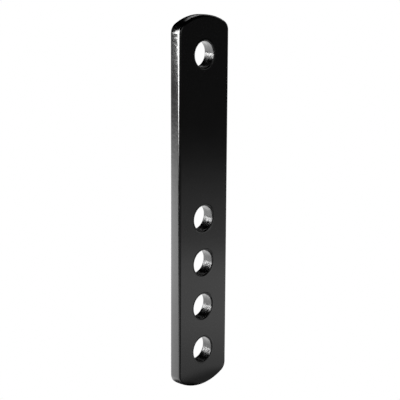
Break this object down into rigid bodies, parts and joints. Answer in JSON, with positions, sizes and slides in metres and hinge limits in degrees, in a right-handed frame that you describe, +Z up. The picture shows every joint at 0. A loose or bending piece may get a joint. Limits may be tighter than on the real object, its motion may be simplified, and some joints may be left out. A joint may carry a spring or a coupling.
{
  "type": "adjustable lifting link bar",
  "caption": "Flat steel link bar with arched ends, a suspension hole near the top and a row of evenly spaced pin holes near the bottom, gloss black powder coat.",
  "frame": {"origin": "centre of the suspension hole, at mid thickness of the bar", "axes": "+Z up along the bar's length towards its suspension end, +X across its width, -Y out of its front face"},
  "size_m": [0.0636, 0.0126, 0.3525],
  "materials": {
    "powder_coat": "gloss"
  },
  "bodies": {
    "root": {"link_bar": "powder_coat"}
  },
  "joints": []
}
